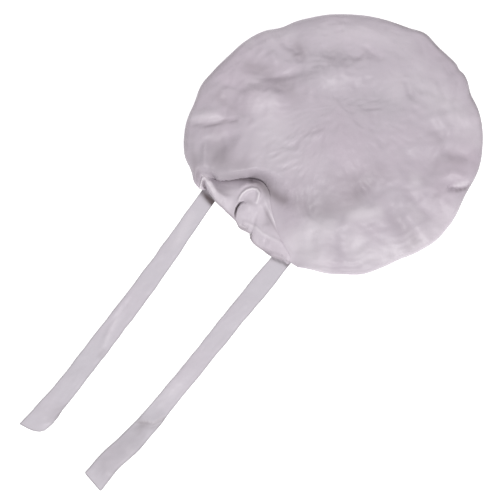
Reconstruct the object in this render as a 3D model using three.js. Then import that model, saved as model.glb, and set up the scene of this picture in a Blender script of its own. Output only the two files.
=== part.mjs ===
// A satin sleep bonnet lying flat, crown up: a full round crown turned under to a
// gathered edge, a flat front band under it, an elastic casing at the nape that
// shows between the two ties, and two flat ties laid out on the surface.
// Millimetres, +Z up. Plan points are measured from the middle of the crown.

import * as THREE from "three";

// Driving dimensions
const CROWN_HALF_LENGTH = 172.5; // the lying crown, along X
const CROWN_HALF_WIDTH = 149.5; // and along Y
const CROWN_HEIGHT = 38; // top of the crown over the surface
const RIM_HEIGHT = 10; // where the crown turns under
const DOME_PLAN_POWER = 3.0; // fuller shoulders with a higher power
const DOME_RISE_POWER = 1.9;
const CROWN_WALL = 1.5;
const BAND_WALL = 1.8;
const TIE_WALL = 1.6;
const SEWN_GAP = 0.35; // between pieces sewn to each other
const TIE_WIDTH = 22.5;

// The crown's lines start here, so that they cross the groove at the nape squarely
const LINES_FROM = new THREE.Vector2(5, 45);

// The mouth: an ellipse whose axis runs from the nape to the middle of the crown
const NAPE_MIDDLE = new THREE.Vector2(-93.7, -84);
const MOUTH_AXIS = new THREE.Vector2(0.66, 0.751).normalize();
const MOUTH_DEPTH = 74; // from the nape to the ellipse's centre
const MOUTH_HALF_LENGTH = 95;
const MOUTH_HALF_WIDTH = 90;
const FRONT_BAND_WIDTH = 21;

// The stretch of the crown's edge where the casing shows, in degrees round the crown
const NAPE_FROM = 198;
const NAPE_TO = 254;

// Where the outline leaves the ellipse, as smooth bumps and flats
const OUTLINE_BUMPS = [
  { at: 8, spread: 7, out: 1.0 },
  { at: 20, spread: 4, out: -3.0 },
  { at: 28, spread: 10, out: 2.8 },
  { at: 46, spread: 26, out: 3.8 },
  { at: 50, spread: 5, out: 4.2 },
  { at: 60, spread: 12, out: 0.9 },
  { at: 74, spread: 9, out: 1.0 },
  { at: 103, spread: 9, out: -2.4 },
  { at: 113.5, spread: 6, out: -4.3 },
  { at: 124, spread: 14, out: -1.8 },
  { at: 141, spread: 9, out: -4.0 },
  { at: 150, spread: 5, out: -1.6 },
  { at: 163, spread: 6, out: -3.0 },
  { at: 172, spread: 26, out: -1.7 },
  { at: 191, spread: 4.5, out: -5.4 },
  { at: 200, spread: 4.5, out: -11 },
  { at: 257, spread: 9, out: -4.5 },
  { at: 283, spread: 6, out: 2.4 },
  { at: 300, spread: 6, out: -2.2 },
  { at: 303, spread: 20, out: 1.0 },
  { at: 317, spread: 5, out: 1.4 },
  { at: 339, spread: 9, out: -5.4 },
];

// How far the crown reaches under the casing, by direction
const NAPE_REACH = [
  { at: 198, reach: 160 },
  { at: 200, reach: 153 },
  { at: 203, reach: 137 },
  { at: 207, reach: 121 },
  { at: 211, reach: 112 },
  { at: 217, reach: 107 },
  { at: 224, reach: 110 },
  { at: 232, reach: 117 },
  { at: 241, reach: 127 },
  { at: 249, reach: 142 },
  { at: 254, reach: 146.3 },
];

// The casing from the left tie to the right: the line where it leaves the crown
// and its free hem, each as x, y and height
const CASING = [
  { seam: [-147.8, -37.5, 14], hem: [-151.8, -52.9, 8.5] },
  { seam: [-139.7, -40.8, 13], hem: [-142.0, -57.5, 7.5] },
  { seam: [-130.5, -42.6, 12], hem: [-132.8, -66.1, 7] },
  { seam: [-119.0, -42.6, 12], hem: [-122.5, -75.9, 6] },
  { seam: [-106.4, -41.4, 12], hem: [-111.6, -86.8, 5.5] },
  { seam: [-96.0, -42.6, 12], hem: [-107.0, -94.3, 5] },
  { seam: [-85.7, -47.7, 13], hem: [-94.9, -102.9, 5] },
  { seam: [-78.8, -59.2, 14], hem: [-92.6, -111.0, 5] },
  { seam: [-73.0, -75.3, 14], hem: [-82.2, -120.2, 5] },
  { seam: [-66.1, -91.4, 13], hem: [-71.9, -128.8, 5.5] },
  { seam: [-56.9, -109.8, 11.5], hem: [-60.4, -135.7, 6] },
  { seam: [-47.7, -124.8, 9.5], hem: [-48.9, -139.2, 7] },
];

// Long soft folds: a ridge where rise is positive, a dent where it is negative
const CROWN_FOLDS = [
  { from: [-81, 57], to: [38, 80], width: 13, rise: 3.5 },
  { from: [-97, 91], to: [-37, 103], width: 11, rise: -3.2 },
  { from: [-24, 102], to: [59, 104], width: 10, rise: -3 },
  { from: [-166, 29], to: [-124, 36], width: 8, rise: 2.6 },
  { from: [-160, 20], to: [-112, 24], width: 8, rise: -2.6 },
  { from: [-80, -62], to: [50, -66], width: 13, rise: -4.5 },
  { from: [-37, -98], to: [78, -82], width: 14, rise: 3 },
  { from: [72, -71], to: [98, -111], width: 8, rise: -3.5 },
  { from: [110, -10], to: [158, -21], width: 9, rise: -4 },
  { from: [112, 32], to: [141, 12], width: 9, rise: 2.6 },
];
const CASING_FOLDS = [
  { from: [-148, -38], to: [-137, -61], width: 4.5, rise: 5 },
  { from: [-150, -45], to: [-143, -56], width: 3, rise: -4 },
  { from: [-132, -48], to: [-104, -46], width: 5, rise: -2 },
  { from: [-124, -58], to: [-115, -80], width: 6, rise: 2.5 },
  { from: [-112, -84], to: [-108, -68], width: 3, rise: -4 },
  { from: [-98, -62], to: [-98, -88], width: 8, rise: 6.5 },
  { from: [-84, -66], to: [-72, -92], width: 6, rise: -2 },
  { from: [-94, -91], to: [-50, -117], width: 5, rise: 3 },
  { from: [-98, -108], to: [-88, -102], width: 4, rise: -3 },
];

// Gathers of the turned-under part, where it is sewn to the front band
const GATHER_COUNT = 18;
const GATHER_HEIGHT = 4.2;
const GATHER_AT_SEAM = 0.25; // share of that height left at the stitching

// Tie centrelines with the width there; each starts under the crown's edge
const TIE_LEFT = [
  { x: -137, y: -50, width: 19 },
  { x: -146.5, y: -63, width: 19.5 },
  { x: -165.6, y: -90, width: 20.4 },
  { x: -198, y: -136.4, width: 22.5 },
  { x: -231.8, y: -182.6, width: 23.6 },
  { x: -267.3, y: -228.8, width: 24.6 },
  { x: -302.8, y: -275, width: 25 },
  { x: -322, y: -298.1, width: 26 },
  { x: -346.9, y: -327.9, width: 29 },
];
const TIE_RIGHT = [
  { x: -50, y: -123, width: 20 },
  { x: -62, y: -136.3, width: 21.5 },
  { x: -81.1, y: -159.5, width: 23.4 },
  { x: -119, y: -205.7, width: 22.6 },
  { x: -156, y: -251.9, width: 22 },
  { x: -194, y: -298.1, width: 22.4 },
  { x: -212.8, y: -321.2, width: 24.6 },
  { x: -234.5, y: -344.3, width: 26.4 },
  { x: -258.8, y: -367.4, width: 26.6 },
  { x: -277.1, y: -389.8, width: 28 },
];

// The ties' slanted ends: across, from 1 left to -1 right as seen along the tie,
// and how far the end reaches there past the table's last place
const TIE_LEFT_END = [
  { side: 1, past: -20.5 },
  { side: 0.65, past: -3.9 },
  { side: -1, past: 6 },
];
const TIE_RIGHT_END = [
  { side: 1, past: 2.2 },
  { side: 0, past: 0 },
  { side: -1, past: -2.2 },
];
const TIE_END_FROM = 0.81; // share of the tie where its edges begin to reach past

// Mesh steps
const HIDDEN_STEPS = GATHER_COUNT * 4;
const NAPE_STEPS = 28;
const TOP_STEPS = 11;
const TURN_STEPS = 4;
const UNDER_STEPS = 6;
const CASING_STEPS = 32;
const CASING_ROWS = 9;
const FRONT_BAND_STEPS = 34;
const TIE_STEPS = 16;

const radians = THREE.MathUtils.degToRad;
const lerp = THREE.MathUtils.lerp;
const clamp01 = (value) => THREE.MathUtils.clamp(value, 0, 1);
const smooth = (value) => THREE.MathUtils.smoothstep(value, 0, 1);

// How far apart two directions are, from 0 to 180 degrees
function turnBetween(a, b) {
  return Math.abs(((((a - b) % 360) + 540) % 360) - 180);
}

// The crown's outline without the dip at the nape
function outlineRadius(degrees) {
  const along = Math.cos(radians(degrees)) / CROWN_HALF_LENGTH;
  const across = Math.sin(radians(degrees)) / CROWN_HALF_WIDTH;
  let radius = 1 / Math.hypot(along, across);
  for (const bump of OUTLINE_BUMPS) {
    const away = turnBetween(degrees, bump.at) / bump.spread;
    radius += bump.out * Math.exp(-away * away);
  }
  return radius;
}

// A smooth curve through one column of a table, read from 0 to 1
function column(rows, read) {
  return new THREE.CatmullRomCurve3(
    rows.map((row) => new THREE.Vector3(...read(row))),
    false,
    "centripetal",
  );
}

const napeReach = column(NAPE_REACH, (row) => [row.at, row.reach, 0]);
const casingSeam = column(CASING, (row) => row.seam);
const casingHem = column(CASING, (row) => row.hem);

// Where the crown ends in a direction: at its outline, or under the casing
function rimRadius(degrees) {
  if (degrees <= NAPE_FROM || degrees >= NAPE_TO) return outlineRadius(degrees);
  let low = 0;
  let high = 1;
  for (let i = 0; i < 24; i++) {
    const middle = (low + high) / 2;
    if (napeReach.getPoint(middle).x < degrees) low = middle;
    else high = middle;
  }
  return napeReach.getPoint(low).y;
}

// The height that a table of folds adds at a place
function foldRise(folds, x, y) {
  let rise = 0;
  for (const fold of folds) {
    const [x0, y0] = fold.from;
    const [x1, y1] = fold.to;
    const length = Math.hypot(x1 - x0, y1 - y0);
    const along = ((x - x0) * (x1 - x0) + (y - y0) * (y1 - y0)) / length;
    const past = Math.max(0, -along, along - length);
    const off = ((x - x0) * (y1 - y0) - (y - y0) * (x1 - x0)) / length;
    rise += fold.rise * Math.exp(-(off * off + past * past) / fold.width ** 2);
  }
  return rise;
}

// Distance in plan from a place to the casing, 0 inside it, and its height there
const CASING_PROBES = 120;
const casingLines = [];
for (let i = 0; i <= CASING_PROBES; i++) {
  const t = i / CASING_PROBES;
  casingLines.push([casingSeam.getPoint(t), casingHem.getPoint(t)]);
}

function nearCasing(x, y) {
  let best = { distance: Infinity, height: 0 };
  for (const [seam, hem] of casingLines) {
    const dx = hem.x - seam.x;
    const dy = hem.y - seam.y;
    const t = clamp01(((x - seam.x) * dx + (y - seam.y) * dy) / (dx * dx + dy * dy));
    const distance = Math.hypot(x - seam.x - t * dx, y - seam.y - t * dy);
    if (distance < best.distance) best = { distance, height: lerp(seam.z, hem.z, t) };
  }
  return best;
}

// Height of the crown's top at a place, with the groove that it falls into
// beside the casing
const GROOVE_WIDTH = 17;
const UNDER_CASING = BAND_WALL + 3 * SEWN_GAP; // the crown below the casing

function crownTop(x, y) {
  const degrees = THREE.MathUtils.radToDeg(Math.atan2(y, x));
  const share = Math.min(1, Math.hypot(x, y) / outlineRadius(degrees));
  const dome = (1 - share ** DOME_PLAN_POWER) ** (1 / DOME_RISE_POWER);
  const casing = nearCasing(x, y);
  const free = smooth((casing.distance - 2.5) / GROOVE_WIDTH);
  const full =
    RIM_HEIGHT +
    (CROWN_HEIGHT - RIM_HEIGHT) * dome +
    foldRise(CROWN_FOLDS, x, y) * smooth(4 * (1 - share));
  return lerp(casing.height - UNDER_CASING, full, free);
}

// A place on the mouth's ellipse; turn 0 is its far end, under the crown's middle
const MOUTH_SIDE = new THREE.Vector2(-MOUTH_AXIS.y, MOUTH_AXIS.x);
const MOUTH_END_TURN = Math.acos(-MOUTH_DEPTH / MOUTH_HALF_LENGTH);

function mouthPoint(turn, inward) {
  return NAPE_MIDDLE.clone()
    .addScaledVector(
      MOUTH_AXIS,
      MOUTH_DEPTH + (MOUTH_HALF_LENGTH - inward) * Math.cos(turn),
    )
    .addScaledVector(MOUTH_SIDE, (MOUTH_HALF_WIDTH - inward) * Math.sin(turn));
}

// How much the ties lift what lies over them at a place
function tieLift(x, y) {
  let lift = 0;
  for (const tie of [TIE_LEFT, TIE_RIGHT]) {
    for (const row of tie.slice(0, 3)) {
      const away = Math.hypot(x - row.x, y - row.y) / TIE_WIDTH;
      lift = Math.max(lift, 1.25 - away);
    }
  }
  return (TIE_WALL + 2 * SEWN_GAP) * smooth(3 * lift);
}

// One line of the crown's outer face, from the ring round its middle to its edge
function crownLine(degrees) {
  const reach = rimRadius(degrees);
  const end = new THREE.Vector2(
    reach * Math.cos(radians(degrees)),
    reach * Math.sin(radians(degrees)),
  );
  const ray = end.clone().sub(LINES_FROM).normalize();
  const line = [];
  const hidden = degrees <= NAPE_FROM || degrees >= NAPE_TO;
  const round = (degrees - NAPE_TO + 720) % 360;
  const share = clamp01(round / (360 - (NAPE_TO - NAPE_FROM)));

  for (let row = 1; row <= TOP_STEPS; row++) {
    const out = Math.sin((row / TOP_STEPS) * (Math.PI / 2)) ** 0.9;
    const { x, y } = LINES_FROM.clone().lerp(end, out);
    line.push(new THREE.Vector3(x, y, crownTop(x, y)));
  }
  const rim = line[line.length - 1];
  const casing = nearCasing(rim.x, rim.y);
  const free = smooth((casing.distance - 2.5) / GROOVE_WIDTH);
  rim.z = Math.min(rim.z, lerp(casing.height - UNDER_CASING, RIM_HEIGHT, free));

  const open = hidden ? 0 : smooth(Math.min(degrees - NAPE_FROM, NAPE_TO - degrees) / 5);
  const seam = mouthPoint(lerp(-MOUTH_END_TURN, MOUTH_END_TURN, share), 0);
  if (!hidden) {
    const side = degrees < (NAPE_FROM + NAPE_TO) / 2 ? 1 : -1;
    seam.copy(mouthPoint(side * MOUTH_END_TURN, 0));
  }
  const floorAtRim = tieLift(rim.x, rim.y);
  const turn = 0.85 * (rim.z - floorAtRim);
  const across = new THREE.Vector2(seam.x - rim.x, seam.y - rim.y);
  const underLength = across.length();
  across.normalize();

  // Rows past the rim either turn under or, under the casing, run straight on
  const addRow = (inward, height, onward) => {
    const tucked = new THREE.Vector3(
      rim.x + across.x * inward,
      rim.y + across.y * inward,
      height,
    );
    const straight = new THREE.Vector3(
      rim.x + ray.x * onward,
      rim.y + ray.y * onward,
      rim.z - 0.12 * onward,
    );
    line.push(tucked.lerp(straight, open));
  };
  for (let row = 1; row <= TURN_STEPS; row++) {
    const angle = (row / TURN_STEPS) * (Math.PI / 2);
    addRow(
      turn * (1 - Math.cos(angle)),
      lerp(rim.z, floorAtRim, Math.sin(angle)),
      0.5 * row,
    );
  }
  for (let row = 1; row <= UNDER_STEPS; row++) {
    const t = row / UNDER_STEPS;
    const inward = lerp(turn, underLength, t);
    const place = new THREE.Vector2(rim.x, rim.y).addScaledVector(across, inward);
    const wave = Math.cos(share * GATHER_COUNT * 2 * Math.PI);
    const depth = smooth(1.6 * t) * (t < 1 ? 1 : GATHER_AT_SEAM);
    const ends = smooth(6 * share) * smooth(6 * (1 - share));
    const gather = Math.max(0, wave) * GATHER_HEIGHT * depth * ends;
    addRow(inward, tieLift(place.x, place.y) + gather, 0.5 * (TURN_STEPS + row));
  }
  return line;
}

// Normals of a sheet of points, rows by columns
function sheetNormals(rows, around) {
  const last = rows.length - 1;
  const count = rows[0].length;
  return rows.map((row, r) =>
    row.map((_, c) => {
      const left = around ? row[(c + count - 1) % count] : row[Math.max(0, c - 1)];
      const right = around ? row[(c + 1) % count] : row[Math.min(count - 1, c + 1)];
      const down = rows[Math.max(0, r - 1)][c];
      const up = rows[Math.min(last, r + 1)][c];
      const alongColumns = new THREE.Vector3().subVectors(right, left);
      const alongRows = new THREE.Vector3().subVectors(up, down);
      return alongRows.cross(alongColumns).normalize();
    }),
  );
}

// A sheet of points as a closed wall: its face, the face a wall's thickness
// behind it, and the edges. An apex closes the first row of a round sheet.
function sheetWall(rows, wall, { around = false, apex = null } = {}) {
  const count = rows[0].length;
  const normals = sheetNormals(rows, around);
  const face = rows.flat();
  const back = rows.flatMap((row, r) =>
    row.map((point, c) => point.clone().addScaledVector(normals[r][c], -wall)),
  );
  const points = [...face, ...back];
  const behind = face.length;
  const faces = [];
  const quad = (a, b, c, d) => faces.push(a, b, c, a, c, d);
  const turnedQuad = (a, b, c, d) => faces.push(a, b, d, b, c, d);
  const steps = around ? count : count - 1;

  for (let r = 0; r + 1 < rows.length; r++) {
    for (let c = 0; c < steps; c++) {
      const next = (c + 1) % count;
      const [a, b] = [r * count + c, r * count + next];
      const [d, e] = [a + count, b + count];
      // Both faces are split along the outer one's shorter diagonal
      const straight = face[a].distanceTo(face[e]) <= face[b].distanceTo(face[d]);
      const split = straight ? quad : turnedQuad;
      split(a, d, e, b);
      split(behind + a, behind + b, behind + e, behind + d);
    }
  }
  const lastRow = (rows.length - 1) * count;
  for (let c = 0; c < steps; c++) {
    const next = (c + 1) % count;
    quad(lastRow + c, behind + lastRow + c, behind + lastRow + next, lastRow + next);
    if (!apex) quad(c, next, behind + next, behind + c);
  }
  if (!around) {
    for (let r = 0; r + 1 < rows.length; r++) {
      const [a, d] = [r * count, (r + 1) * count];
      const [b, e] = [a + count - 1, d + count - 1];
      quad(a, behind + a, behind + d, d);
      quad(b, e, behind + e, behind + b);
    }
  }
  if (apex) {
    points.push(apex, apex.clone().setZ(apex.z - wall));
    const top = points.length - 2;
    for (let c = 0; c < count; c++) {
      const next = (c + 1) % count;
      faces.push(top, c, next);
      faces.push(top + 1, behind + next, behind + c);
    }
  }
  const geometry = new THREE.BufferGeometry().setFromPoints(points);
  geometry.setIndex(faces);
  geometry.computeVertexNormals();
  return geometry;
}

function crownGeometry() {
  const lines = [];
  for (let i = 0; i < HIDDEN_STEPS; i++) {
    lines.push(crownLine(NAPE_TO + (i / HIDDEN_STEPS) * (360 - (NAPE_TO - NAPE_FROM))));
  }
  for (let i = 0; i < NAPE_STEPS; i++) {
    lines.push(crownLine(lerp(NAPE_FROM, NAPE_TO, i / NAPE_STEPS)));
  }
  const rows = lines[0].map((_, r) => lines.map((line) => line[r]));
  const { x, y } = LINES_FROM;
  const apex = new THREE.Vector3(x, y, crownTop(x, y));
  return sheetWall(rows, CROWN_WALL, { around: true, apex });
}

function casingGeometry() {
  const rows = [];
  for (let r = 0; r < CASING_ROWS; r++) {
    const across = r / (CASING_ROWS - 1);
    const row = [];
    for (let i = 0; i <= CASING_STEPS; i++) {
      const point = casingSeam.getPoint(i / CASING_STEPS);
      point.lerp(casingHem.getPoint(i / CASING_STEPS), across);
      const bulge = 3 * Math.sin(Math.PI * across);
      const inner = smooth(2.4 * across);
      point.z += bulge + foldRise(CASING_FOLDS, point.x, point.y) * inner;
      point.z = Math.max(point.z, BAND_WALL + SEWN_GAP + tieLift(point.x, point.y));
      row.push(point);
    }
    rows.push(row);
  }
  return sheetWall(rows, BAND_WALL);
}

// The front band lies flat inside the gathered edge, from tie to tie
function frontBandGeometry() {
  const start = 2 * SEWN_GAP;
  const rows = [start + FRONT_BAND_WIDTH, start + 0.5 * FRONT_BAND_WIDTH, start];
  const reach = 0.97 * MOUTH_END_TURN;
  return sheetWall(
    rows.map((inward) => {
      const row = [];
      for (let i = 0; i <= FRONT_BAND_STEPS; i++) {
        const place = mouthPoint(lerp(-reach, reach, i / FRONT_BAND_STEPS), inward);
        row.push(new THREE.Vector3(place.x, place.y, BAND_WALL));
      }
      return row;
    }),
    BAND_WALL,
  );
}

function tieGeometry(table, end) {
  const middle = column(table, (row) => [row.x, row.y, 0]);
  const widths = column(table, (row) => [row.width, 0, 0]);
  const rows = end.map(({ side, past }) => {
    const row = [];
    for (let i = 0; i <= TIE_STEPS; i++) {
      const t = i / TIE_STEPS;
      const point = middle.getPoint(t);
      const along = middle.getTangent(t);
      const off = (side * widths.getPoint(t).x) / 2;
      const slide = past * clamp01((t - TIE_END_FROM) / (1 - TIE_END_FROM));
      row.push(
        new THREE.Vector3(
          point.x - along.y * off + along.x * slide,
          point.y + along.x * off + along.y * slide,
          TIE_WALL,
        ),
      );
    }
    return row;
  });
  return sheetWall(rows, TIE_WALL);
}

const satin = new THREE.MeshStandardMaterial({
  color: 0xc9bec8,
  roughness: 0.55,
  metalness: 0,
  side: THREE.DoubleSide,
});

const bonnet = new THREE.Group();
const pieces = {
  crown: crownGeometry(),
  nape_casing: casingGeometry(),
  front_band: frontBandGeometry(),
  tie_left: tieGeometry(TIE_LEFT, TIE_LEFT_END),
  tie_right: tieGeometry(TIE_RIGHT, TIE_RIGHT_END),
};
for (const [name, geometry] of Object.entries(pieces)) {
  const mesh = new THREE.Mesh(geometry, satin.clone());
  mesh.name = name;
  bonnet.add(mesh);
}

// The frame's origin is under the middle of the whole lying bonnet
const box = new THREE.Box3().setFromObject(bonnet, true);
const centre = box.getCenter(new THREE.Vector3());
bonnet.position.set(-centre.x, -centre.y, -box.min.z);

export default bonnet;
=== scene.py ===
"""A satin sleep bonnet lying flat, crown up, with its ties laid out.

Plan points are in millimetres from the middle of the crown, heights are in
millimetres over the surface, and meshes are in metres in the part's frame.
"""

import math

import bmesh
import bpy
import numpy as np
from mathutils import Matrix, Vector, noise


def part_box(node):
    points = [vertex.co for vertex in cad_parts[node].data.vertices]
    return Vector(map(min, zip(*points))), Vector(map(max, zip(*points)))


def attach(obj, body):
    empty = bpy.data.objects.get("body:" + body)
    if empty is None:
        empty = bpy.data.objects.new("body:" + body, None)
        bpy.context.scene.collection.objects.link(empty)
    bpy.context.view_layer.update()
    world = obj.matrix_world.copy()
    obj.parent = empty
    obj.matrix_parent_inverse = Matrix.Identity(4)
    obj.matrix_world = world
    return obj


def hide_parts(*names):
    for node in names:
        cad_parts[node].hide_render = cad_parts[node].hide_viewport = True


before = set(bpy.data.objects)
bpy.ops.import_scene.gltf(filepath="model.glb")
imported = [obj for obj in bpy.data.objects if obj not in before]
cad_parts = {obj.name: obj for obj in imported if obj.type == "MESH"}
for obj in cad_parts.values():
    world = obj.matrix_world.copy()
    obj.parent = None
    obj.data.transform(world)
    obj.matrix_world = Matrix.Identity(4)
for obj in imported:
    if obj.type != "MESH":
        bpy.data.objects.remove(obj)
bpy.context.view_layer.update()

MM = 0.001

# The lying crown: its outline is near an ellipse, and its upper side has a rounded
# edge over its rim
CROWN_HALF_LENGTH = 172.5
CROWN_HALF_WIDTH = 149.5
CROWN_HEIGHT = 35.0
RIM_HEIGHT = 12.0
EDGE_RISE = 10.0
EDGE_REACH = 5.0
DOME_POWER = 2.0
LINES_FROM = np.array([5.0, 45.0])  # where the lines of its pattern start

# The walls of the cloth, and the straps of the ties
CROWN_WALL = 1.2
CASING_WALL = 1.3
BAND_WALL = 1.6
TIE_WIDTH = 23.5
TIE_TOP = 1.4  # height of a strap's upper face

# The mouth: an ellipse whose axis runs from the nape to the middle of the crown
NAPE_MIDDLE = np.array([-93.7, -84.0])
MOUTH_AXIS = np.array([0.66, 0.751]) / math.hypot(0.66, 0.751)
MOUTH_SIDE = np.array([-MOUTH_AXIS[1], MOUTH_AXIS[0]])
MOUTH_DEPTH = 74.0
MOUTH_HALF_LENGTH = 95.0
MOUTH_HALF_WIDTH = 90.0
MOUTH_END_TURN = math.acos(-MOUTH_DEPTH / MOUTH_HALF_LENGTH)
FRONT_BAND_WIDTH = 21.0
FRONT_BAND_GAP = 0.8

# The stretch of the crown's edge where the casing shows, in degrees
NAPE_FROM = 198.0
NAPE_TO = 254.0

# Where the outline leaves the ellipse: direction, spread in degrees, distance out
OUTLINE_BUMPS = [
    (8, 7, 1.0), (20, 4, -3.0), (28, 10, 2.8), (30.4, 1.5, -1.9), (46, 26, 3.8),
    (50, 5, 4.2), (60, 12, 0.9), (74, 9, 1.0), (103, 9, -2.4), (113.5, 6, -4.3),
    (124, 14, -1.8), (141, 9, -4.0), (150, 5, -1.6), (163, 6, -3.0), (172, 26, -1.7),
    (191, 4.5, -5.4), (200, 4.5, -9.0), (257, 9, -4.5), (283, 6, 2.4), (300, 6, -2.2),
    (303, 20, 1.0), (317, 5, 1.4), (339, 9, -5.4),
]

# How far the crown reaches under the casing: direction, distance
NAPE_REACH = [
    (198, 161.4), (200, 154), (203, 137), (207, 121), (211, 112), (217, 107),
    (224, 110), (232, 117), (241, 127), (249, 142), (254, 146.3),
]

# The casing from the left tie to the right: the line where it leaves the crown
# and its free hem, each as x, y and height
CASING = [
    ((-149.2, -35.2, 15.0), (-153.4, -48.8, 9.0)),
    ((-139.7, -38.6, 13.0), (-142.0, -54.4, 9.0)),
    ((-130.5, -41.0, 12.0), (-132.8, -65.4, 8.5)),
    ((-119.0, -40.6, 12.0), (-122.5, -75.4, 8.0)),
    ((-106.4, -38.6, 12.5), (-111.2, -86.6, 7.0)),
    ((-94.0, -39.2, 14.0), (-106.6, -94.8, 6.5)),
    ((-81.0, -43.0, 17.0), (-94.6, -101.8, 6.0)),
    ((-73.0, -54.0, 19.0), (-91.6, -111.0, 6.0)),
    ((-69.8, -73.0, 19.0), (-82.0, -119.4, 6.5)),
    ((-64.6, -91.4, 18.0), (-71.9, -127.0, 7.5)),
    ((-56.9, -109.8, 16.0), (-61.0, -130.8, 8.5)),
    ((-47.7, -124.8, 13.0), (-49.3, -134.8, 9.5)),
]
# The groove between crown and casing, from left to right: share, its width, how far
# the crown hangs over it and how far the crown lies under the casing's face there,
# how far the casing's own edge is sunk and how wide that slope is
GROOVE = [
    (0.0, 7.0, 0.0, 0.2, 0.2, 2.5), (0.08, 7.0, 0.0, 0.4, 0.6, 2.5),
    (0.13, 10.0, 2.5, 5.5, 4.0, 8.0), (0.18, 11.0, 4.0, 7.5, 5.8, 15.0),
    (0.36, 11.0, 4.0, 7.5, 5.8, 15.0), (0.43, 12.0, 3.0, 7.0, 5.0, 9.0),
    (0.50, 13.0, 1.0, 6.5, 4.4, 5.0), (0.57, 15.0, 0.0, 3.6, 2.6, 6.0),
    (0.62, 19.0, 0.0, 1.2, 1.4, 6.0), (0.67, 24.0, 0.0, 0.6, 1.2, 6.0),
    (0.80, 32.0, 0.0, 0.6, 1.1, 6.0), (1.0, 32.0, 0.0, 0.6, 1.1, 6.0),
]
GROOVE_START = 2.0
LOWEST_CROWN = 2.4
OVER_CASING = 0.5  # the crown lies over the casing where it is nearer than this
FULL_HANG = 5.0  # the crown has its rounded lip where it hangs over this far
LIP_STEEPNESS = 4
LIP_ROUNDNESS = 1.6
LEAN_STEEPNESS = 2.6
LEAN_REACH = 2.2  # how far the crown leans towards the casing, in groove widths
CASING_ZONE = 20.0  # plan points right of or above this are far from the casing
CASING_LINES = 140  # between seam and hem, for finding the casing's nearest place
PUCKER_DEPTH = 3.6  # of the creases that run down the crown's side
CREASE_REACH = 3.0  # and how far they reach and lower the edge of its upper side
CREASE_DROP = 2.4
RIM_WAVE = 2.2  # how far the edge of its upper side rises and falls
RIM_WAVE_SIZE = 26.0
RIM_WAVE_SEED = 91
FOLD_STRENGTH = 1.2  # of the table of the crown's folds


def fold(rise, width, *path, other=None, fade=0.5):
    """A ridge, or a dent where rise is negative, along a path in plan.

    Width is that of its left side, seen along the path, and other that of its
    right side. Fade is how soon it dies away towards its ends.
    """
    return {"rise": rise, "left": width, "right": other or width, "path": path, "fade": fade}


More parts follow.
